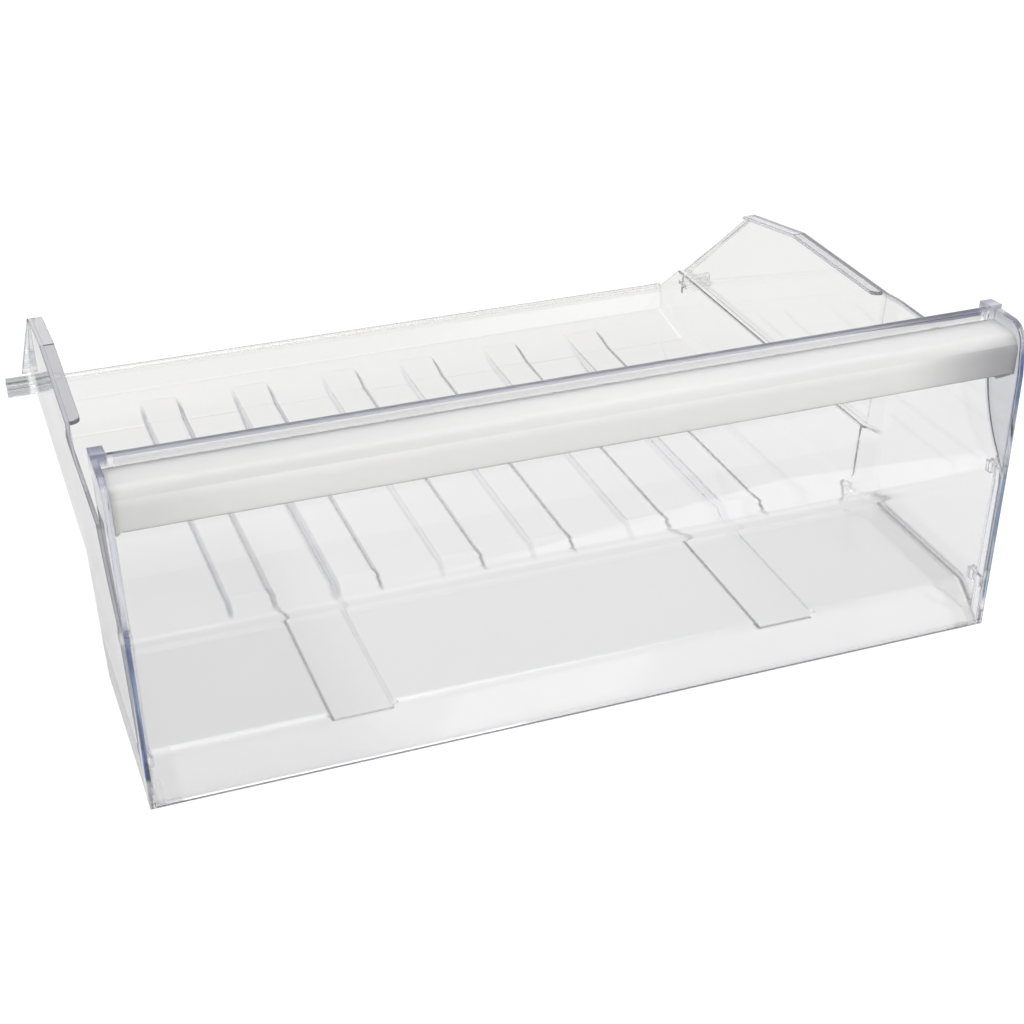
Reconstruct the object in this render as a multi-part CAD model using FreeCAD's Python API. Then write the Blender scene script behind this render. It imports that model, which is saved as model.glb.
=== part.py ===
import FreeCAD, Part
import math
import os

# Freezer drawer of clear moulded plastic: a basket, a front panel that snaps onto it,
# and a grip strip that closes the top of the panel's hand recess.
# Millimetres. X is the width, Y runs from the front panel to the rear, Z is up.
# While modelling, Y = 0 is the face of the front panel and Z = 0 its bottom edge.
# At the end everything is moved so that the origin is the middle of the footprint.

V = FreeCAD.Vector

# Limits beyond the drawer on every side, for blocks and cuts that run right through
FAR = 260.0
BEFORE = -20.0
BEHIND = 420.0
UNDER = -20.0
OVER = 190.0

# Walls are modelled this tall and this deep, then cut back to their outline
TALL = 150.0
DEEP = 400.0

# Overlap of solids that are joined or cut, and the height left where a form fades out
SUNK = 0.5
SLIVER = 0.02

# Picking edges to round: a long run, a narrow spread, and how far from the middle
EDGE_RUN = 15.0
EDGE_SPREAD = 8.0
EDGE_ASIDE = 150.0

# Basket: wall, side profile and heights of the floor
WALL = 2.0
TOP_EDGE = 133.3
FRONT_FACE = 2.9
SHOULDER = 113.0
SHOULDER_SLOPE = 0.5
SHOULDER_ROUND = 9.0
SHOULDER_EASE = 0.16
EASE_ROUND = 40.0
SECTION_END = 130.0
KINK = (216.0, TOP_EDGE)
PEAK = (275.0, 123.0)
REAR_TOP = 35.5
REAR_SLOPE = math.radians(39.5)
LEDGE = 54.0
LEDGE_WIDE = 4.0
SLOPE_FOOT = 2.4
LOW_START = 21.0
LOW_END = 101.0
LOW_FLOOR = 16.0
FLOOR_START = 113.0
FLOOR = 17.3
REAR_BEND = 337.0
REAR_FOOT = (372.0, 24.0)
REAR_WALL = 380.5
REAR_WALL_FOOT = 32.0
LOW_START_ROUND = 8.0
FLOOR_SIDE_ROUND = 4.0
TUB_ROUND = 6.5

# Basket: half widths at one height and distance, their draft and their taper to the rear
FRONT_HALF = 214.3
FRONT_DRAFT = 0.0395
FRONT_TAPER = 0.0065
UPPER_HALF = 212.2
UPPER_DRAFT = 0.043
UPPER_TAPER = 0.0126
UPPER_AT = 300.0

# Basket: raised ribs and sunk channels of the floor, which fade out at their ends
RIB_PLACES = (25.4, 82.0, 138.5)
RIB_HIGH = 2.0
RIB_FADES = (110.0, 130.0, REAR_BEND, 361.0)
RIB_FOOT = 25.5
RIB_CROWN = 20.5
RIB_END = 23.0
RIB_FLANK = 0.7
CHANNEL_PLACE = 110.25
CHANNEL = 14.2
CHANNEL_FRONT = 8.0
CHANNEL_FADES = (296.0, 336.0)
CHANNEL_BOTTOM = 28.0
CHANNEL_MOUTH = 32.0
PAD_FRONT = 19.8
PAD_WIDER = 0.8

# Basket: flange, rims and guide pegs
FLANGE_START = 127.0
FLANGE_WIDE = 7.5
FLANGE_ROUND = 5.0
EDGE_RIM_OUT = 216.0
EDGE_RIM_WIDE = 4.5
REAR_RIM_DEEP = 5.0
PEG_ROOT = 206.0
PEG_END = 226.4
PEG_Y = 350.0
PEG_Z = 48.5
PEG_TALL = 11.6
PEG_WEB = 2.2

# Front panel
SHEET = 2.5
PANEL_HALF = 215.3
PANEL_DRAFT = 0.0235
RETURN_THICK = 3.0
RETURN_DEEP = 8.0
RETURN_TOP = 101.0
CREASE = 90.0
CREASE_ROUND = 9.0
RECESS_RADIUS = 78.0
RECESS_START = math.radians(41.0)
LEVEL = math.radians(90.0)
RIM_TOP = 166.0
RIM_BEAD = 163.3
RIM_BEAD_DEEP = 0.8
RIM_ROUND = 0.7
END_TOP = 165.2
END_EDGE = (2.6, 153.5)
END_CORNER = (13.0, END_TOP, 5.7, 161.8)
EAR_TOP = 167.3
EAR_FOOT = 158.0
EAR_BACK = (35.0, 166.5)
EAR_WIDE = 6.5

# Snap joints between the panel and the basket
SNAP_HEIGHTS = (25.0, 86.0)
SNAP_TALL = 6.0
SNAP_BACK = 14.4
SNAP_THICK = 1.9
SNAP_CATCH = 2.1
SNAP_BITE = 0.2
WINDOW_FRONT = 10.6
WINDOW_DEEP = 3.2
WINDOW_REACH = 7.0
NOSE_FACE = WINDOW_FRONT + 0.2
NOSE_TIP = WINDOW_FRONT + 1.0
NOSE_BACK = WINDOW_FRONT + 2.8

# Grip strip
GRIP_TOP = 160.0
GRIP_EDGE = 141.0
GRIP_FRONT = 3.7
GRIP_THICK = 2.3
GRIP_BEND = 8.3
GRIP_CAP = 2.1
GRIP_ROUND = 0.9
GRIP_FACE_BACK = 0.8
CAP_LOW = 134.0
CAP_TOP = 150.0
CAP_FRONT = 14.0
CAP_BACK = 5.0
CAP_LEAN = 1.5

# Clearances: between panel and basket, and beside the grip strip
GAP = 0.4
SIDE_GAP = 0.3

# Centre of the arc that shapes the hand recess, as (y, z)
RECESS_Y = -RECESS_RADIUS * math.sin(RECESS_START)
RECESS_Z = CREASE + RECESS_RADIUS * math.cos(RECESS_START)
RIM_FRONT = RECESS_Y + RECESS_RADIUS


def front_half(y, z):
    """Outer half width of the deep front section of the basket."""
    return FRONT_HALF + FRONT_DRAFT * z + FRONT_TAPER * (SHOULDER - y)


def shoulder_half(y, z):
    """Outer half width of the slanted shoulder that ends the front section."""
    return front_half(y, z) - SHOULDER_SLOPE * (y - SHOULDER)


def eased_half(y, z):
    """The same shoulder above the ledge, where the step is smaller and runs out gently."""
    return front_half(y, z) - SHOULDER_EASE * (y - SHOULDER)


def upper_half(y, z):
    """Outer half width of the side walls above the ledge."""
    return UPPER_HALF + UPPER_DRAFT * (z - LEDGE) + UPPER_TAPER * (UPPER_AT - y)


def lower_half(y, z):
    """Outer half width of the narrower tub below the ledge."""
    return upper_half(y, z) - LEDGE_WIDE


def panel_half(y, z):
    """Outer half width of the front panel."""
    return PANEL_HALF + PANEL_DRAFT * z


def floor_line(under=0.0):
    """Side profile (y, z) of the floor and the rear wall, or of the same skin further down."""
    line = [(FRONT_FACE, SLOPE_FOOT), (LOW_START, LOW_FLOOR), (LOW_END, LOW_FLOOR),
            (FLOOR_START, FLOOR), (REAR_BEND, FLOOR), REAR_FOOT,
            (REAR_WALL, REAR_WALL_FOOT), (REAR_WALL, LEDGE + WALL + under)]
    angles = [math.atan2(z1 - z0, y1 - y0) for (y0, z0), (y1, z1) in zip(line, line[1:])]
    moved = []
    for (y, z), before, after in zip(line, angles[:1] + angles, angles + angles[-1:]):
        mitre = under / math.cos((after - before) / 2.0)
        turn = (before + after) / 2.0
        moved.append((y + mitre * math.sin(turn), z - mitre * math.cos(turn)))
    return moved


def height_on(line, y):
    """Height of a side profile at one distance from the front."""
    for (y0, z0), (y1, z1) in zip(line, line[1:]):
        if y <= y1:
            return z0 + (z1 - z0) * (y - y0) / (y1 - y0)
    return line[-1][1]


def inset(half_width, amount):
    """The same drafted side, moved inwards."""
    return lambda y, z: half_width(y, z) - amount


def outline(*steps):
    """Closed face in the YZ plane from points (y, z) and arcs (y, z, mid y, mid z)."""
    edges = []
    here = V(0, *steps[0])
    start = here
    for step in steps[1:] + (steps[0],):
        there = V(0, step[0], step[1])
        if there.isEqual(here, 1e-6):
            continue
        if len(step) == 4:
            edges.append(Part.Arc(here, V(0, step[2], step[3]), there).toShape())
        else:
            edges.append(Part.LineSegment(here, there).toShape())
        here = there
    if not here.isEqual(start, 1e-6):
        raise ValueError("outline does not close")
    return Part.Face(Part.Wire(edges))


def across(face, x0=-FAR, x1=FAR):
    """Extrude a YZ face along X."""
    solid = face.extrude(V(x1 - x0, 0, 0))
    solid.translate(V(x0, 0, 0))
    return solid


def drafted(half_width, y0=BEFORE, y1=BEHIND, z0=UNDER, z1=OVER):
    """Block whose two flat sides follow a drafted, tapered half width."""
    def level(z):
        return [
            V(-half_width(y0, z), y0, z),
            V(half_width(y0, z), y0, z),
            V(half_width(y1, z), y1, z),
            V(-half_width(y1, z), y1, z),
        ]
    low, high = level(z0), level(z1)
    rings = [low, high]
    for i in range(4):
        j = (i + 1) % 4
        rings.append([low[i], low[j], high[j], high[i]])
    faces = [Part.Face(Part.makePolygon(ring + ring[:1])) for ring in rings]
    block = Part.Solid(Part.Shell(faces))
    if block.Volume < 0:
        block.reverse()
    return block


def body(face, half_width):
    """A side profile carried across the width, between drafted sides."""
    return across(face).common(drafted(half_width))


def recess_point(radius, angle):
    """Point (y, z) on an arc that is concentric with the hand recess."""
    return (RECESS_Y + radius * math.sin(angle), RECESS_Z - radius * math.cos(angle))


def recess_angle_at_y(radius, y):
    return math.asin((y - RECESS_Y) / radius)


def recess_angle_at_z(radius, z):
    return math.acos((RECESS_Z - z) / radius)


def recess_arc(radius, start, end):
    """Arc step for outline(), from one angle to another around the recess centre."""
    return recess_point(radius, end) + recess_point(radius, (start + end) / 2.0)


def lengthwise_edges(solid, low, high):
    """Edges that run along Y between two heights, away from the middle."""
    found = []
    for edge in solid.Edges:
        box = edge.BoundBox
        runs_back = box.YLength > EDGE_RUN and box.XLength < EDGE_SPREAD
        if runs_back and abs(box.Center.x) > EDGE_ASIDE and low < box.ZMin and box.ZMax < high:
            found.append(edge)
    return found


def upright_edges(solid, y, tolerance=1.5):
    """Edges that stand at one distance from the front, away from the middle."""
    found = []
    for edge in solid.Edges:
        box = edge.BoundBox
        stands = box.ZLength > EDGE_RUN and box.YLength < tolerance
        if stands and abs(box.Center.x) > EDGE_ASIDE and abs(box.Center.y - y) < tolerance:
            found.append(edge)
    return found


def edges_across(solid, y, z, near=0.3):
    """Edges that run the whole width at one place in the side view."""
    found = []
    for edge in solid.Edges:
        middle = edge.BoundBox.Center
        if edge.BoundBox.XLength > 2 * EDGE_ASIDE and math.hypot(middle.y - y, middle.z - z) < near:
            found.append(edge)
    return found


def floor_side_edges(solid):
    """Edges where the floor of the front section meets its side walls."""
    found = []
    for edge in solid.Edges:
        box = edge.BoundBox
        on_floor = box.ZMax < FLOOR + SUNK and box.YLength > SUNK
        if on_floor and box.XLength < 2 * EDGE_SPREAD and abs(box.Center.x) > EDGE_ASIDE:
            found.append(edge)
    return found


def cross_section(x, y, low, high, low_half, high_half):
    """Upright trapezium across the drawer, as a wire."""
    corners = [V(x - low_half, y, low), V(x + low_half, y, low),
               V(x + high_half, y, high), V(x - high_half, y, high)]
    return Part.makePolygon(corners + corners[:1])


def loft(sections):
    return Part.makeLoft(sections, True, True)


def fuse(solids):
    """One solid from several that overlap."""
    joined = solids[0].multiFuse(solids[1:])
    return joined.removeSplitter()


def both_sides(solid):
    """A solid and its mirror image in the middle plane."""
    return [solid, solid.mirror(V(0, 0, 0), V(1, 0, 0))]


def front_block(profile, split, thick):
    """Front section between its sides; the shoulder is steeper below the ledge than above."""
    blocks = []
    for low, high, half_width, slope, bend in (
            (UNDER, split, shoulder_half, SHOULDER_SLOPE, SHOULDER_ROUND),
            (split, OVER, eased_half, SHOULDER_EASE, EASE_ROUND)):
        level = across(outline((BEFORE, low), (BEHIND, low), (BEHIND, high), (BEFORE, high)))
        slant = thick * math.hypot(1.0, slope)
        block = across(profile).common(level)
        block = block.common(drafted(inset(front_half, thick)))
        block = block.common(drafted(inset(half_width, slant)))
        turn = SHOULDER - (slant - thick) / slope
        blocks.append(block.makeFillet(bend, upright_edges(block, turn)))
    return fuse(blocks)


def tub(thick, start):
    """Space or form of the tub below the ledge, with rounded bottom edges."""
    floor = floor_line(WALL - thick)
    base = floor[4][1]
    block = body(outline((start, base), *floor[4:], (start, floor[-1][1])),
                 inset(lower_half, thick))
    corners = lengthwise_edges(block, base - SUNK, REAR_FOOT[1] + SUNK)
    return block.makeFillet(TUB_ROUND + WALL - thick, corners)


def upper_walls(thick, start, reach):
    """Space or form between the side walls above the ledge."""
    low = LEDGE + thick
    return body(outline((start, low), (DEEP + reach, low), (DEEP + reach, TALL + reach),
                        (start, TALL + reach)), inset(upper_half, thick))


def basket_outside():
    """Outer form: deep front section, walls above the ledge, narrower tub below it."""
    start = SHOULDER - WALL
    profile = outline((FRONT_FACE, 0), (SECTION_END, 0), (SECTION_END, TALL), (FRONT_FACE, TALL))
    front = front_block(profile, LEDGE, 0.0)
    return fuse([front, upper_walls(0.0, start, 0.0), tub(0.0, start)])


def basket_inside():
    """The space inside the walls, open at the top and above the low rear wall."""
    start = SHOULDER - 2 * WALL
    end = SECTION_END - SUNK
    top = TALL + SUNK
    floor = floor_line()
    profile = outline(*floor[:4], (end, FLOOR), (end, top), (FRONT_FACE, top))
    front = front_block(profile, LEDGE + WALL, WALL)
    front = front.makeFillet(LOW_START_ROUND, edges_across(front, LOW_START, LOW_FLOOR))
    front = front.makeFillet(FLOOR_SIDE_ROUND, floor_side_edges(front))
    return fuse([front, upper_walls(WALL, start, SUNK), tub(WALL, start)])


def space_under_front():
    """The hollow under the front section's floor, between the side skirts."""
    slant = WALL * math.hypot(1.0, SHOULDER_SLOPE)
    floor = floor_line(WALL)
    beyond = SECTION_END + WALL
    space = body(outline((floor[0][0], UNDER / 2), *floor[:4], (beyond, floor[4][1]),
                         (beyond, UNDER / 2)), inset(front_half, WALL))
    space = space.common(drafted(inset(shoulder_half, slant)))
    return space.makeFillet(LOW_START_ROUND + WALL, edges_across(space, *floor[1]))


def wing_outline():
    """Side view of the basket: what is kept of the full height walls."""
    radius = RECESS_RADIUS + SHEET + GAP
    low = recess_angle_at_y(radius, SHEET + GAP)
    high = recess_angle_at_z(radius, TOP_EDGE)
    ledge_end = PEAK[0] + (PEAK[1] - LEDGE) / math.tan(REAR_SLOPE)
    rear_end = PEAK[0] + (PEAK[1] - REAR_TOP) / math.tan(REAR_SLOPE)
    face = outline((SHEET + GAP, UNDER), recess_point(radius, low),
                   recess_arc(radius, low, high), KINK, PEAK, (ledge_end, LEDGE),
                   (rear_end, REAR_TOP), (DEEP, REAR_TOP), (DEEP, UNDER))
    return across(face)


def top_flange():
    """Stiffening flange along the rear half of each top edge, turned inwards."""
    rear_end = PEAK[0] + WALL / math.tan(REAR_SLOPE)
    face = outline((FLANGE_START, TOP_EDGE - WALL), (KINK[0], TOP_EDGE - WALL),
                   (PEAK[0], PEAK[1] - WALL), (rear_end, PEAK[1] - WALL), PEAK, KINK,
                   (FLANGE_START, TOP_EDGE))
    ring = body(face, upper_half).cut(drafted(inset(upper_half, FLANGE_WIDE)))
    middle = upper_half(FLANGE_START, TOP_EDGE) - FLANGE_WIDE / 2.0
    rounded = []
    for side in ring.Solids:
        corner = [e for e in side.Edges
                  if e.BoundBox.ZLength > WALL / 2.0 and e.BoundBox.YMax < FLANGE_START + SUNK
                  and abs(e.BoundBox.Center.x) < middle]
        rounded.append(side.makeFillet(FLANGE_ROUND, corner))
    return rounded


def rear_edge_rims():
    """Rim that keeps the sloping rear edge of each wing plumb while the wall drafts in."""
    along = V(0, math.cos(REAR_SLOPE), -math.sin(REAR_SLOPE))
    down = V(0, -math.sin(REAR_SLOPE), -math.cos(REAR_SLOPE))
    start = V(0, *PEAK)
    end = start + along * ((PEAK[1] - LEDGE) / math.sin(REAR_SLOPE))
    corners = [start, end, end + down * WALL, start + down * WALL]
    face = outline(*[(point.y, point.z) for point in corners])
    return both_sides(across(face, EDGE_RIM_OUT - EDGE_RIM_WIDE, EDGE_RIM_OUT))


def rear_wall_rim():
    """Flat rim on top of the low rear wall."""
    half = lower_half(REAR_WALL, REAR_TOP) - SUNK
    return Part.makeBox(2 * half, REAR_RIM_DEEP, WALL, V(-half, REAR_WALL, REAR_TOP - WALL))


def rib_at(x, depth, narrow):
    """One rib as a loft along the drawer; its top sinks into the floor at both ends."""
    line = floor_line(depth)
    foot = RIB_FOOT / 2.0 - narrow
    sections = []
    for y, high, crown in zip(RIB_FADES, (0.0, RIB_HIGH, RIB_HIGH, 0.0),
                              (RIB_END, RIB_CROWN, RIB_CROWN, RIB_END)):
        base = height_on(line, y)
        sections.append(cross_section(x, y, base - SUNK, base + high + SLIVER,
                                      foot, crown / 2.0 - narrow))
    return loft(sections)


def floor_ribs():
    """Six raised ribs and, below them, the hollows that keep the floor one thickness."""
    raised = []
    hollows = []
    for place in RIB_PLACES:
        for x in (-place, place):
            raised.append(rib_at(x, 0.0, 0.0))
            hollows.append(rib_at(x, WALL, RIB_FLANK))
    return raised, hollows


def floor_channels():
    """Two sunk channels that run back from the front slope, and the pads that form them below."""
    pads = []
    channels = []
    slope = (CHANNEL_MOUTH - CHANNEL_BOTTOM) / 2.0 / (FLOOR - CHANNEL)
    for x in (-CHANNEL_PLACE, CHANNEL_PLACE):
        for solids, shift, start, widen in ((channels, 0.0, CHANNEL_FRONT, 0.0),
                                            (pads, WALL, PAD_FRONT, PAD_WIDER)):
            low = CHANNEL - shift
            high = FLOOR - shift + SUNK
            sections = []
            for y, bottom in ((start, low), (CHANNEL_FADES[0], low),
                              (CHANNEL_FADES[1], FLOOR - shift - SLIVER)):
                half = CHANNEL_BOTTOM / 2.0 + slope * (bottom - low) + widen
                sections.append(cross_section(x, y, bottom, high, half,
                                              half + slope * (high - bottom)))
            solids.append(loft(sections))
    return pads, channels


def guide_pegs():
    """Cross shaped pegs at the rear end of each ledge."""
    length = PEG_END - PEG_ROOT
    middle = V(PEG_ROOT, PEG_Y, PEG_Z)
    upright = Part.makeBox(length, PEG_WEB, PEG_TALL, middle - V(0, PEG_WEB, PEG_TALL) / 2.0)
    level = Part.makeBox(length, PEG_TALL, PEG_WEB, middle - V(0, PEG_TALL, PEG_WEB) / 2.0)
    core = Part.makeCylinder(PEG_WEB, length, middle, V(1, 0, 0))
    return both_sides(fuse([upright, level, core]))


def snap_windows():
    """Openings in the front section's sides for the panel's hooks."""
    windows = []
    tall = SNAP_TALL + 2.0 * GAP
    for z in SNAP_HEIGHTS:
        corner = V(FRONT_HALF - WINDOW_REACH, WINDOW_FRONT, z - tall / 2.0)
        windows += both_sides(Part.makeBox(2 * WINDOW_REACH, WINDOW_DEEP, tall, corner))
    return windows


def snap_hooks():
    """Tongues behind the front panel, each with a hook that catches in a window."""
    hooks = []
    for z in SNAP_HEIGHTS:
        outer = front_half(SNAP_BACK, z) - WALL - SNAP_THICK / 4.0
        low = z - SNAP_TALL / 2.0
        tongue = Part.makeBox(SNAP_THICK, SNAP_BACK - SHEET + SUNK, SNAP_TALL,
                              V(outer - SNAP_THICK, SHEET - SUNK, low))
        root = outer - SNAP_BITE
        tip = root + SNAP_CATCH
        corners = [V(root, NOSE_FACE, low), V(tip, NOSE_FACE, low), V(tip, NOSE_TIP, low),
                   V(root, NOSE_BACK, low)]
        nose = Part.Face(Part.makePolygon(corners + corners[:1])).extrude(V(0, 0, SNAP_TALL))
        hooks += both_sides(tongue.fuse(nose))
    return hooks


def make_basket():
    shell = basket_outside().cut(basket_inside()).cut(space_under_front())
    raised, hollows = floor_ribs()
    pads, channels = floor_channels()
    shell = fuse([shell] + raised + pads + top_flange())
    shell = shell.cut(Part.makeCompound(hollows)).cut(Part.makeCompound(channels))
    shell = shell.common(wing_outline())
    shell = fuse([shell, rear_wall_rim()] + rear_edge_rims() + guide_pegs())
    back = RETURN_DEEP + SIDE_GAP
    trim = across(outline((BEFORE / 2, UNDER / 2), (back, UNDER / 2), (back, RETURN_TOP),
                          (BEFORE / 2, RETURN_TOP)))
    trim = trim.cut(drafted(inset(panel_half, RETURN_THICK + SIDE_GAP)))
    return shell.cut(Part.makeCompound([trim] + snap_windows()))


def panel_sheet():
    """Flat lower face, crease, concave hand recess and the upright rim."""
    back = RECESS_RADIUS + SHEET
    back_start = recess_angle_at_y(back, SHEET)
    rim_back = RIM_FRONT + SHEET
    bead = RIM_FRONT - RIM_BEAD_DEEP
    face = outline(
        (0, 0), (0, CREASE), recess_arc(RECESS_RADIUS, RECESS_START, LEVEL),
        (RIM_FRONT, RIM_BEAD), (bead, RIM_BEAD), (bead, RIM_TOP),
        (rim_back, RIM_TOP), recess_point(back, LEVEL), recess_arc(back, LEVEL, back_start),
        (SHEET, 0))
    sheet = body(face, panel_half)
    sheet = sheet.makeFillet(CREASE_ROUND, edges_across(sheet, 0, CREASE))
    inner = recess_point(back, back_start)
    sheet = sheet.makeFillet(CREASE_ROUND - SHEET, edges_across(sheet, *inner))
    soft = edges_across(sheet, bead, RIM_TOP) + edges_across(sheet, rim_back, RIM_TOP)
    return sheet.makeFillet(RIM_ROUND, soft)


def panel_ends():
    """End returns that grow into the plates closing the hand recess."""
    back = RECESS_RADIUS + SHEET
    corner = recess_angle_at_y(back, RETURN_DEEP)
    face = outline(
        (0, 0), (0, CREASE), (GRIP_FACE_BACK, GRIP_EDGE), END_EDGE, END_CORNER,
        (RIM_FRONT + SHEET, END_TOP), recess_point(back, LEVEL), recess_arc(back, LEVEL, corner),
        (RETURN_DEEP, 0))
    return body(face, panel_half).cut(drafted(inset(panel_half, RETURN_THICK)))


def panel_ears():
    """Small blocks that stand at both ends of the rim."""
    front = RIM_FRONT - RIM_BEAD_DEEP
    face = outline((front, EAR_FOOT), (front, EAR_TOP), EAR_BACK, (EAR_BACK[0], EAR_FOOT),
                   (RIM_FRONT + SHEET, EAR_FOOT - EAR_WIDE))
    return body(face, panel_half).cut(drafted(inset(panel_half, EAR_WIDE)))


def make_front_panel():
    return fuse([panel_sheet(), panel_ends(), panel_ears()] + snap_hooks())


def grip_arc(radius):
    """Corner of the grip's section: from level to upright around the bend's centre."""
    y, z = GRIP_FRONT + GRIP_BEND, GRIP_TOP - GRIP_BEND
    diagonal = radius * math.sqrt(0.5)
    return (y, z + radius), (y - radius, z, y - diagonal, z + diagonal)


def make_grip_strip():
    """Hooked strip that covers the recess, with a cap at each end."""
    half = inset(panel_half, RETURN_THICK + SIDE_GAP)
    over, down = grip_arc(GRIP_BEND)
    inner_over, inner_down = grip_arc(GRIP_BEND - GRIP_THICK)
    inner_front = GRIP_FRONT + GRIP_THICK
    section = outline(
        (RIM_FRONT, GRIP_TOP), over, down, (GRIP_FRONT, GRIP_EDGE), (inner_front, GRIP_EDGE),
        inner_down[:2], inner_over + (inner_down[2], inner_down[3]),
        (RIM_FRONT, GRIP_TOP - GRIP_THICK))
    strip = body(section, half)
    lower_edges = (edges_across(strip, GRIP_FRONT, GRIP_EDGE)
                   + edges_across(strip, inner_front, GRIP_EDGE))
    strip = strip.makeFillet(GRIP_ROUND, lower_edges)
    cap = outline(
        (RIM_FRONT, GRIP_TOP), over, down, (GRIP_FRONT, GRIP_EDGE), (CAP_FRONT, CAP_LOW),
        (RIM_FRONT - CAP_BACK, CAP_LOW), (RIM_FRONT - CAP_LEAN, CAP_TOP), (RIM_FRONT, CAP_TOP))
    caps = body(cap, half).cut(drafted(inset(panel_half, RETURN_THICK + SIDE_GAP + GRIP_CAP)))
    return fuse([strip, caps])


def main():
    os.makedirs("parts", exist_ok=True)
    parts = {
        "basket": make_basket(),
        "front_panel": make_front_panel(),
        "grip_strip": make_grip_strip(),
    }
    boxes = [shape.optimalBoundingBox(False) for shape in parts.values()]
    back = max(box.YMax for box in boxes)
    front = min(box.YMin for box in boxes)
    low = min(box.ZMin for box in boxes)
    offset = V(0, -(back + front) / 2.0, -low)
    for name, shape in parts.items():
        solid = shape.Solids[0].copy() if len(shape.Solids) == 1 else shape.copy()
        solid.translate(offset)
        box = solid.optimalBoundingBox(False)
        print(name, len(shape.Solids), solid.isValid(), round(solid.Volume / 1000.0, 1), "cm3",
              [round(v, 2) for v in (box.XMin, box.XMax, box.YMin, box.YMax, box.ZMin, box.ZMax)])
        solid.exportStep("parts/%s.step" % name)


main()
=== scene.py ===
import math

import bpy
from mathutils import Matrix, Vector

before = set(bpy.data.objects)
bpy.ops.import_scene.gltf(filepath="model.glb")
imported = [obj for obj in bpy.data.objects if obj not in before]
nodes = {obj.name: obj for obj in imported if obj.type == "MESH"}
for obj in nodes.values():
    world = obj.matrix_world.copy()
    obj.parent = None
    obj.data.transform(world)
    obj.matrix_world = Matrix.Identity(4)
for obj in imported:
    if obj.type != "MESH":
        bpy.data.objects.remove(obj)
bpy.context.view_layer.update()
scene = bpy.context.scene

# Soft zones on the pieces, in metres of the shared frame. For each axis a zone names the
# edges that it fades over, as (value outside, value inside). "side" is the distance from
# the middle, and "inward" the distance inside the panel's leaning end.

# Basket
FROSTED_FLOOR = {"y": ((-0.1740, -0.1690), (-0.0845, -0.0915)), "z": ((0.0176, 0.0168),)}
RIB_PLACES = (0.0254, 0.0820, 0.1385)
RIB_FLANK = {"off": ((0.0098, 0.0106), (0.0130, 0.0122))}
RIB_LENGTH = {"z": ((0.0230, 0.0215),), "y": ((-0.076, -0.072), (0.165, 0.150))}
REAR_SLOPE = {"y": ((0.145, 0.160),), "side": ((0.206, 0.203),)}
SHOULDER = {"y": ((-0.082, -0.079), (-0.064, -0.067)), "side": ((0.203, 0.205),)}
BELOW_LEDGE = {"z": ((0.0500, 0.0485),)}
ABOVE_LEDGE = {"z": ((0.0585, 0.0600),)}
REAR_SHADE_LINE = {"y": ((0.1848, 0.1852), (0.1876, 0.1872)), "z": ((0.0545, 0.0552),),
             "side": ((0.2065, 0.2055),)}
LEFT_WING_SHADE = {"x": ((-0.2040, -0.2065),), "y": ((0.085, 0.100),), "z": ((0.0570, 0.0600),)}
FLANGE = {"level": ((0.1308, 0.1314),)}
FLANGE_BEND = 0.0233
FLANGE_FALL = 0.1746
PEG_SHADE = {"side": ((0.2125, 0.2145),), "z": ((0.0560, 0.0550),), "y": ((0.145, 0.148),)}
FRONT_EDGE = {"y": ((-0.1800, -0.1835),), "side": ((0.206, 0.209),)}
FRONT_CORNER = {"side": ((0.199, 0.201),), "z": ((0.0300, 0.0260),), "y": ((-0.080, -0.084),)}
ABOVE_FLOOR = (0.0205, 0.0225)
WALL_ROUNDING = 0.35
CORNER_ROUNDING = 1.5

# Front panel
HALF_WIDTH = 0.2153
LEAN = 0.0235
END_PLATE_SHADE = {"inward": ((0.0034, 0.0028),), "z": ((0.085, 0.095),)}
EDGE_TINT_AND_SHADE = {"inward": ((0.0025, 0.0019),), "y": ((-0.1885, -0.1905),),
             "z": ((0.160, 0.150), (0.014, 0.017))}
HEIGHTS = 6.0
RIGHT_EDGE_SHADES = [
    (0.11, (0.30, 0.42, 0.58)), (0.21, (0.22, 0.32, 0.50)), (0.28, (0.25, 0.32, 0.50)),
    (0.32, (0.09, 0.14, 0.32)), (0.51, (0.08, 0.12, 0.29)), (0.59, (0.45, 0.48, 0.56)),
    (0.69, (0.32, 0.35, 0.46)), (0.76, (0.05, 0.09, 0.30)), (0.95, (0.04, 0.08, 0.28))]
LEFT_EDGE_SHADES = [
    (0.12, (0.03, 0.05, 0.19)), (0.21, (0.09, 0.14, 0.32)), (0.28, (0.07, 0.11, 0.27)),
    (0.33, (0.15, 0.23, 0.41)), (0.41, (0.12, 0.18, 0.36)), (0.46, (0.04, 0.07, 0.19)),
    (0.51, (0.03, 0.05, 0.16)), (0.56, (0.12, 0.16, 0.30)), (0.62, (0.55, 0.57, 0.64)),
    (0.70, (0.82, 0.83, 0.86))]
RIM = {"z": ((0.1645, 0.1652),)}
RIM_TOP = {"z": ((0.1662, 0.1667),)}
RIM_ENDS = (0.03, 0.12)
UNDER_RIM = {"z": ((0.1600, 0.1606), (0.1653, 0.1646)), "side": ((0.2100, 0.2090),)}
SHADE_WEDGE = {"wedge": ((0.0, 0.0004),), "z": ((0.1653, 0.1650),),
        "x": ((0.100, 0.130), (0.2085, 0.2075))}
SHADE_WEDGE_START = 0.1684
SHADE_WEDGE_FALL = 0.028
EAR = {"inward": ((0.0070, 0.0064),), "z": ((0.160, 0.164),)}

# Grip strip
GRIP_TOP = (0.1585, 0.1598)
GRIP_FACE = {"z": ((0.1563, 0.1556),)}
GRIP_LOWER_EDGE_SHADE = {"z": ((0.1418, 0.1412),), "side": ((0.2130, 0.2120),)}
GRIP_TOP_SHADE = (-0.2, 0.05)
GRIP_RIGHT_SHADE = (0.150, 0.205)
GRIP_LEFT_SHADE = (-0.150, -0.210)
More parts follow.
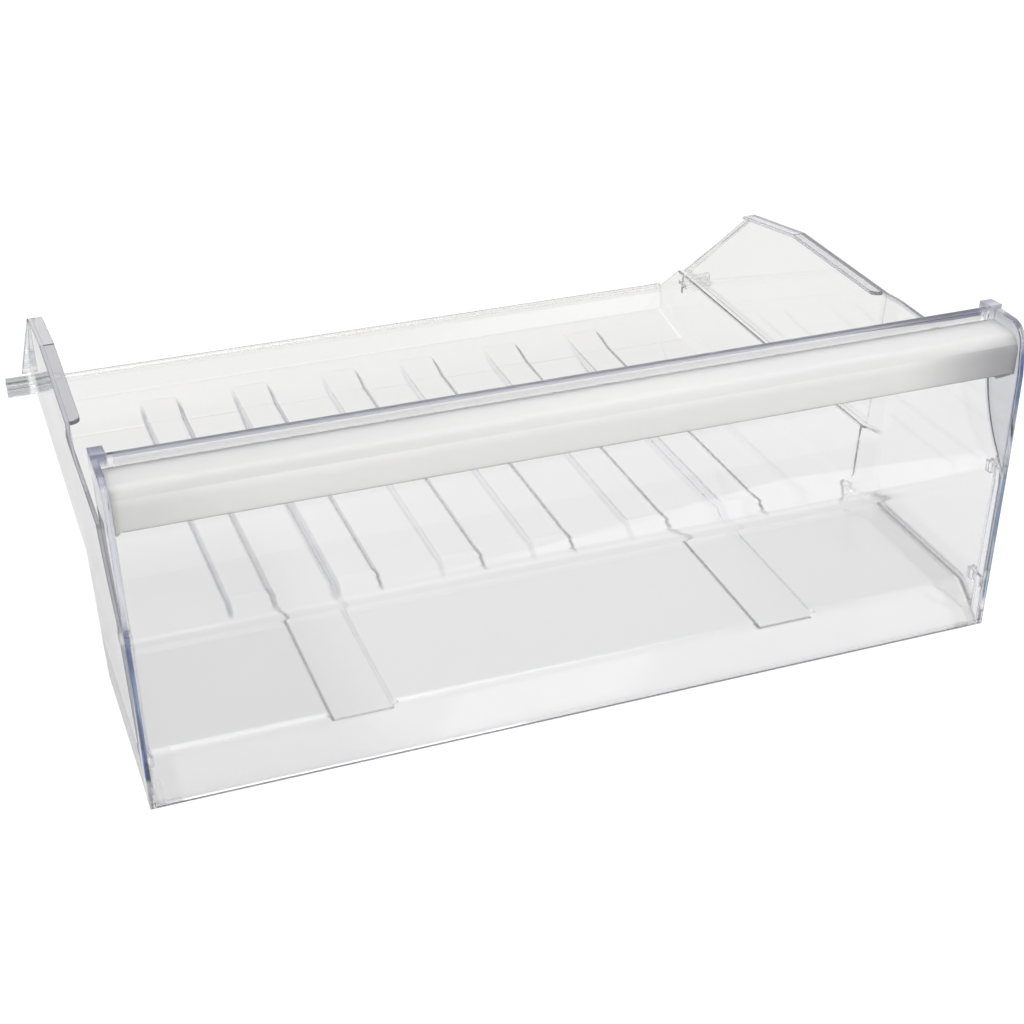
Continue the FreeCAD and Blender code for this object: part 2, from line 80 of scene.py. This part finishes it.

# From the middle towards one side, where left and right differ, mostly in painted shade
TO_LEFT = (0.0, -0.1)
TO_RIGHT = (0.0, 0.1)
LEFT_HALF = (0.01, -0.01)
LEFT_RIBS = (-0.02, -0.13)


# ---------------------------------------------------------------- node helpers
class Graph:
    """A small helper that adds and links shader nodes."""

    def __init__(self, tree):
        self.tree = tree
        tree.nodes.clear()

    def add(self, kind, **settings):
        node = self.tree.nodes.new(kind)
        for key, value in settings.items():
            setattr(node, key, value)
        return node

    def link(self, source, target):
        self.tree.links.new(source, target)

    def value(self, socket, value):
        """Set a socket to a number, or link it."""
        if isinstance(value, (int, float)):
            socket.default_value = value
        else:
            self.link(value, socket)

    def math(self, operation, a, b=0.0, c=None):
        node = self.add("ShaderNodeMath", operation=operation)
        self.value(node.inputs[0], a)
        self.value(node.inputs[1], b)
        if c is not None:
            self.value(node.inputs[2], c)
        return node.outputs[0]

    def most(self, first, *others):
        for other in others:
            first = self.math("MAXIMUM", first, other)
        return first

    def part(self, mask, amount):
        """A mask that reaches amount instead of 1."""
        return self.math("MULTIPLY", mask, amount)

    def noise(self, vector, scale, detail=3.0, rough=0.5, stretch=(1, 1, 1)):
        mapping = self.add("ShaderNodeMapping")
        mapping.inputs["Scale"].default_value = stretch
        self.link(vector, mapping.inputs["Vector"])
        node = self.add("ShaderNodeTexNoise")
        node.inputs["Scale"].default_value = scale
        node.inputs["Detail"].default_value = detail
        node.inputs["Roughness"].default_value = rough
        self.link(mapping.outputs[0], node.inputs["Vector"])
        return node.outputs["Fac"]

    def ramp(self, fac, stops):
        node = self.add("ShaderNodeValToRGB")
        ramp = node.color_ramp
        while len(ramp.elements) < len(stops):
            ramp.elements.new(0.5)
        for element, (place, colour) in zip(ramp.elements, stops):
            element.position = place
            element.color = (*colour, 1.0)
        self.link(fac, node.inputs["Fac"])
        return node.outputs["Color"]

    def band(self, value, low, high, result=(0.0, 1.0)):
        """A smooth step over low to high, or back where high is the smaller."""
        node = self.add("ShaderNodeMapRange", clamp=True, interpolation_type="SMOOTHSTEP")
        self.value(node.inputs["Value"], value)
        node.inputs["From Min"].default_value = low
        node.inputs["From Max"].default_value = high
        node.inputs["To Min"].default_value = result[0]
        node.inputs["To Max"].default_value = result[1]
        return node.outputs["Result"]

    def zone(self, axes, edges, mask=None):
        """The mask of a soft zone, cut by another mask where one is given."""
        for axis, fades in edges.items():
            for fade in fades:
                band = self.band(axes[axis], *fade)
                mask = band if mask is None else self.math("MULTIPLY", mask, band)
        return mask

    def mix(self, fac, a, b, blend="MIX"):
        node = self.add("ShaderNodeMix", data_type="RGBA", blend_type=blend)
        self.value(node.inputs["Factor"], fac)
        for socket, given in ((node.inputs[6], a), (node.inputs[7], b)):
            if isinstance(given, tuple):
                socket.default_value = (*given, 1.0)
            else:
                self.link(given, socket)
        return node.outputs[2]

    def bump(self, height, strength, distance, normal):
        node = self.add("ShaderNodeBump")
        node.inputs["Strength"].default_value = strength
        node.inputs["Distance"].default_value = distance
        self.link(height, node.inputs["Height"])
        self.link(normal, node.inputs["Normal"])
        return node.outputs[0]

    def sum(self, a, b):
        """Two shaders added."""
        node = self.add("ShaderNodeAddShader")
        self.link(a.outputs[0], node.inputs[0])
        self.link(b.outputs[0], node.inputs[1])
        return node.outputs[0]


def grey(level):
    return (level, level, level)


def new_material(name):
    material = bpy.data.materials.new(name)
    material.use_nodes = True
    return material, Graph(material.node_tree)


def object_axes(g):
    """Object coordinates, and the same as separate axes for the zones."""
    place = g.add("ShaderNodeTexCoord").outputs["Object"]
    split = g.add("ShaderNodeSeparateXYZ")
    g.link(place, split.inputs[0])
    axes = {name: split.outputs[name.upper()] for name in "xyz"}
    axes["side"] = g.math("ABSOLUTE", axes["x"])
    return place, axes


# ---------------------------------------------------------------- plastics
def clear_plastic(name, tint, absorb, glow, density, roughness, clearness, round_edge, paint):
    """Clear moulded plastic: cloudy tint, faint flow lines, fine scuffs, and painted zones.

    Light that runs a long way inside the plastic takes the colour of absorb, and the volume
    also gives off a painted glow of colour glow in place of light scattered inside it, which
    is why its edges look grey or blue while its faces stay clear.
    roughness, how milky the plastic is, and how much its edges are rounded, or None for 1.
    """
    material, g = new_material(name)
    place, axes = object_axes(g)
    shader = g.add("ShaderNodeBsdfPrincipled")
    shader.inputs["IOR"].default_value = 1.5
    cloudy = g.noise(place, 9.0, 4.0)
    colour = g.ramp(cloudy, [(0.3, tint[0]), (0.7, tint[1])])
    scuff = g.noise(place, 60.0, 6.0, 0.65, (1.0, 1.0, 0.35))
    gloss = g.band(scuff, 0.45, 0.8, roughness)
    colour, gloss, milky, rounding = paint(g, axes, colour, gloss)
    clear = g.math("MULTIPLY_ADD", milky, -1.0, clearness)
    g.link(clear, shader.inputs["Transmission Weight"])
    g.link(colour, shader.inputs["Base Color"])
    g.link(gloss, shader.inputs["Roughness"])
    flow = g.noise(place, 14.0, 2.0, 0.4, (1.0, 0.35, 1.0))
    grain = g.noise(place, 900.0, 2.0)
    soft_edges = g.add("ShaderNodeBevel", samples=6)
    radius = round_edge if rounding is None else g.math("MULTIPLY", rounding, round_edge)
    g.value(soft_edges.inputs["Radius"], radius)
    normal = g.bump(flow, 0.04, 0.002, soft_edges.outputs[0])
    g.link(g.bump(grain, 0.02, 0.0002, normal), shader.inputs["Normal"])
    volume = g.add("ShaderNodeVolumeAbsorption")
    volume.inputs["Color"].default_value = (*absorb, 1.0)
    volume.inputs["Density"].default_value = density
    # Painted glow: the volume gives off light of colour glow, standing in for light scattered
    # inside the plastic
    painted_glow = g.add("ShaderNodeEmission")
    painted_glow.inputs["Color"].default_value = (*glow, 1.0)
    painted_glow.inputs["Strength"].default_value = density
    out = g.add("ShaderNodeOutputMaterial")
    g.link(shader.outputs[0], out.inputs["Surface"])
    g.link(g.sum(volume, painted_glow), out.inputs["Volume"])
    return material


def paint_basket(g, axes, colour, gloss):
    """The lowered front floor is frosted; painted shade darkens the rib flanks, flanges, pegs,
    rear rim line and left wing.
    """
    low = g.zone(axes, FROSTED_FLOOR)
    colour = g.mix(low, colour, grey(0.945))
    gloss = g.most(gloss, g.part(low, 0.16))

    # Painted shade on the rib flanks, darker towards the left
    flank_shade = 0.0
    for place in RIB_PLACES:
        off = g.math("ABSOLUTE", g.math("SUBTRACT", axes["side"], place))
        flank_shade = g.math("ADD", flank_shade, g.zone({"off": off}, RIB_FLANK))
    flank_shade = g.zone(axes, RIB_LENGTH, flank_shade)
    shade = g.mix(g.band(axes["x"], *LEFT_RIBS), (0.90, 0.90, 0.92), (0.62, 0.63, 0.67))
    colour = g.mix(flank_shade, colour, shade)

    back = g.zone(axes, REAR_SLOPE)
    off_ledge = g.most(g.zone(axes, BELOW_LEDGE), g.zone(axes, ABOVE_LEDGE))
    shoulder = g.zone(axes, SHOULDER, off_ledge)
    gloss = g.most(gloss, g.part(back, 0.14), g.part(shoulder, 0.22))
    # Painted shade: a dark line along the rear rim
    colour = g.mix(g.zone(axes, REAR_SHADE_LINE), colour, grey(0.13))
    # Painted shade: the rear of the left wing greyed
    colour = g.mix(g.zone(axes, LEFT_WING_SHADE), colour, (0.90, 0.92, 0.93))

    # The flange follows the top edge, which falls towards the rear from its bend on
    beyond = g.math("MAXIMUM", g.math("SUBTRACT", axes["y"], FLANGE_BEND), 0.0)
    level = g.math("ADD", axes["z"], g.math("MULTIPLY", beyond, FLANGE_FALL))
    flange = g.zone({"level": level}, FLANGE)
    # Painted shade on the flange, darker towards the left
    colour = g.mix(flange, colour, g.mix(
        g.band(axes["x"], *TO_LEFT), (0.78, 0.78, 0.81), (0.61, 0.61, 0.645)))
    to_right = g.band(axes["x"], *TO_RIGHT)
    milky = g.part(g.math("MULTIPLY", flange, to_right), 0.12)

    # Painted shade on the pegs, the left peg darker
    colour = g.mix(g.zone(axes, PEG_SHADE), colour, g.mix(
        to_right, (0.58, 0.59, 0.60), grey(0.90)))
    corner = g.zone(axes, FRONT_CORNER)
    gloss = g.most(gloss, g.part(g.zone(axes, FRONT_EDGE), 0.35), g.part(corner, 0.20))
    rounding = g.band(axes["z"], *ABOVE_FLOOR, (1.0, WALL_ROUNDING))
    return colour, gloss, milky, g.most(rounding, g.part(corner, CORNER_ROUNDING))


def paint_panel(g, axes, colour, gloss):
    """The front edges show the plastic's blue with painted bands of shade and glints; end
    plates, rim and ears get painted shade, and a painted shadow wedge lies under the rim at
    the right.
    """
    on_left = g.band(axes["x"], *LEFT_HALF)
    half = g.math("MULTIPLY_ADD", axes["z"], LEAN, HALF_WIDTH)
    axes["inward"] = g.math("SUBTRACT", half, axes["side"])
    # Painted shade on the end plates, the right one darker
    colour = g.mix(g.zone(axes, END_PLATE_SHADE), colour, g.mix(
        on_left, (0.66, 0.67, 0.69), (0.92, 0.92, 0.93)))

    # The front edges: the plastic's own blue seen through its depth, with painted bands of
    # shade and glints up their height
    height = g.math("MULTIPLY", axes["z"], HEIGHTS)
    colour = g.mix(g.zone(axes, EDGE_TINT_AND_SHADE), colour, g.mix(
        on_left, g.ramp(height, RIGHT_EDGE_SHADES), g.ramp(height, LEFT_EDGE_SHADES)))

    # Painted shade on the rim, violet and darker towards its ends
    rim = g.zone(axes, RIM)
    colour = g.mix(rim, colour, g.mix(
        g.band(axes["side"], *RIM_ENDS), (0.64, 0.635, 0.73), (0.53, 0.53, 0.63)))
    # Painted shadow: a dark wedge under the rim towards the right end
    wedge_floor = g.math("SUBTRACT", SHADE_WEDGE_START, g.math("MULTIPLY", axes["x"], SHADE_WEDGE_FALL))
    axes["wedge"] = g.math("SUBTRACT", axes["z"], wedge_floor)
    colour = g.mix(g.zone(axes, SHADE_WEDGE), colour, (0.26, 0.27, 0.34))
    under_rim = g.zone(axes, UNDER_RIM)
    gloss = g.most(gloss, g.part(g.most(rim, under_rim), 0.3))

    # Painted shade on the ears, the left one darker
    ear = g.zone(axes, EAR)
    colour = g.mix(ear, colour, g.mix(on_left, (0.60, 0.61, 0.68), (0.30, 0.31, 0.42)))
    milky = g.most(g.part(g.zone(axes, RIM_TOP), 0.4), g.part(ear, 0.2),
                   g.part(under_rim, 0.35))
    return colour, gloss, milky, None


def paint_grip(g, axes, colour, gloss):
    """Painted shade: the rounded top is greyer at the left, the face darkens towards both
    ends, and a dark line runs along the lower edge.
    """
    # Painted shade: the rounded top greyer towards the left
    top_shade = g.mix(g.band(axes["x"], *GRIP_TOP_SHADE), grey(0.80), grey(0.89))
    colour = g.mix(1.0, colour, top_shade, "MULTIPLY")
    # Painted shade: the face darkens towards both ends, most at the right
    face_shade = g.mix(g.band(axes["x"], *GRIP_RIGHT_SHADE), (0.99, 0.99, 0.98), (0.61, 0.61, 0.62))
    face_shade = g.mix(g.band(axes["x"], *GRIP_LEFT_SHADE), face_shade, (0.88, 0.88, 0.87))
    colour = g.mix(g.zone(axes, GRIP_FACE), colour, face_shade)
    # Painted shade: a dark line along the lower edge
    colour = g.mix(g.zone(axes, GRIP_LOWER_EDGE_SHADE), colour, (0.35, 0.35, 0.37))
    return colour, gloss, g.band(axes["z"], *GRIP_TOP, (0.0, 0.12)), None


PLASTICS = {
    "basket": clear_plastic(
        "clear_basket", ((0.985, 0.98, 0.972), (0.998, 0.994, 0.988)),
        absorb=(0.40, 0.40, 0.43), glow=(0.30, 0.30, 0.32), density=16.0,
        roughness=(0.0, 0.06), clearness=0.99, round_edge=0.0020, paint=paint_basket),
    "front_panel": clear_plastic(
        "clear_panel", (grey(0.99), grey(0.998)),
        absorb=(0.27, 0.30, 0.50), glow=(0.20, 0.21, 0.27), density=8.0,
        roughness=(0.0, 0.05), clearness=0.99, round_edge=0.0012, paint=paint_panel),
    "grip_strip": clear_plastic(
        "satin_grip", (grey(0.965), (0.985, 0.985, 0.98)),
        absorb=(0.8, 0.8, 0.82), glow=grey(0.15), density=3.0,
        roughness=(0.48, 0.58), clearness=0.6, round_edge=0.0012, paint=paint_grip)}

for node_name, plastic in PLASTICS.items():
    for slot in nodes[node_name].material_slots:
        slot.material = plastic

# ---------------------------------------------------------------- stage
FLOOR_HALF = 40.0
FLOOR_HEIGHT = -0.0005
FLOOR_COLOUR = 0.08
FLOOR_GLOW_SEEN = 0.98
FLOOR_GLOW_UNDER = 0.78
FLOOR_GLOW_SHADED = 0.69
FLOOR_SHADE = {"x": ((-0.235, -0.205), (-0.07, -0.14)), "y": ((0.10, -0.02),)}

floor_mesh = bpy.data.meshes.new("floor")
floor_mesh.from_pydata(
    [(-FLOOR_HALF, -FLOOR_HALF, FLOOR_HEIGHT), (FLOOR_HALF, -FLOOR_HALF, FLOOR_HEIGHT),
     (FLOOR_HALF, FLOOR_HALF, FLOOR_HEIGHT), (-FLOOR_HALF, FLOOR_HALF, FLOOR_HEIGHT)],
    [], [(0, 1, 2, 3)])
floor = bpy.data.objects.new("floor", floor_mesh)
scene.collection.objects.link(floor)
paper, g = new_material("pale_paper")
matt = g.add("ShaderNodeBsdfDiffuse")
matt.inputs["Color"].default_value = (*grey(FLOOR_COLOUR), 1.0)
lit = g.add("ShaderNodeEmission")
_, axes = object_axes(g)
# White where the camera sees the floor itself, pale grey where it is seen through plastic
seen = g.add("ShaderNodeLightPath").outputs["Is Camera Ray"]
under = g.band(g.zone(axes, FLOOR_SHADE), 0.0, 1.0, (FLOOR_GLOW_UNDER, FLOOR_GLOW_SHADED))
strength = g.math("MAXIMUM", under, g.math("MULTIPLY", seen, FLOOR_GLOW_SEEN))
g.link(strength, lit.inputs["Strength"])
out = g.add("ShaderNodeOutputMaterial")
g.link(g.sum(matt, lit), out.inputs["Surface"])
floor_mesh.materials.append(paper)

# Sky brightness from the horizon (0) to overhead (1)
SKY = [(0.0, grey(1.0)), (0.12, grey(0.96)), (0.35, (0.81, 0.805, 0.80)),
       (0.6, (0.86, 0.855, 0.85)), (1.0, grey(0.98))]

world = bpy.data.worlds.new("studio")
scene.world = world
world.use_nodes = True
g = Graph(world.node_tree)
direction = g.add("ShaderNodeTexCoord").outputs["Generated"]
split = g.add("ShaderNodeSeparateXYZ")
g.link(direction, split.inputs[0])
background = g.add("ShaderNodeBackground")
g.link(g.ramp(split.outputs["Z"], SKY), background.inputs["Color"])
background.inputs["Strength"].default_value = 1.0
out = g.add("ShaderNodeOutputWorld")
g.link(background.outputs[0], out.inputs["Surface"])


def softbox(name, place, target, size, power):
    """A rectangular area light at place, turned to target."""
    light = bpy.data.lights.new(name, "AREA")
    light.shape = "RECTANGLE"
    light.size, light.size_y = size
    light.energy = power
    lamp = bpy.data.objects.new(name, light)
    scene.collection.objects.link(lamp)
    lamp.location = place
    aim = Vector(target) - Vector(place)
    lamp.rotation_euler = aim.to_track_quat("-Z", "Y").to_euler()


softbox("top_light", (-0.3, 0.4, 2.2), (0.0, 0.0, 0.1), (2.4, 1.6), 30.0)
softbox("left_light", (-2.2, -1.0, 1.3), (0.0, 0.0, 0.1), (1.2, 1.6), 5.0)
softbox("front_light", (0.2, -2.4, 0.7), (0.0, -0.15, 0.12), (2.4, 1.0), 3.0)
softbox("right_light", (1.25, -0.95, 1.95), (0.1, -0.15, 0.1), (1.6, 1.2), 6.0)

# ---------------------------------------------------------------- camera
CAMERA_PLACE = (-0.29478, -0.86765, 0.53825)
CAMERA_TILT = 59.79
CAMERA_TURN = -20.46
LENS = 66.23
SENSOR = 36.0
BOUNCES = 80

camera_data = bpy.data.cameras.new("camera")
camera_data.sensor_width = SENSOR
camera_data.lens = LENS
camera = bpy.data.objects.new("camera", camera_data)
scene.collection.objects.link(camera)
camera.location = CAMERA_PLACE
camera.rotation_euler = (math.radians(CAMERA_TILT), 0.0, math.radians(CAMERA_TURN))
camera_data.clip_start, camera_data.clip_end = 0.01, 200.0
scene.camera = camera

scene.view_settings.view_transform = "Standard"
scene.cycles.max_bounces = BOUNCES
scene.cycles.transmission_bounces = BOUNCES
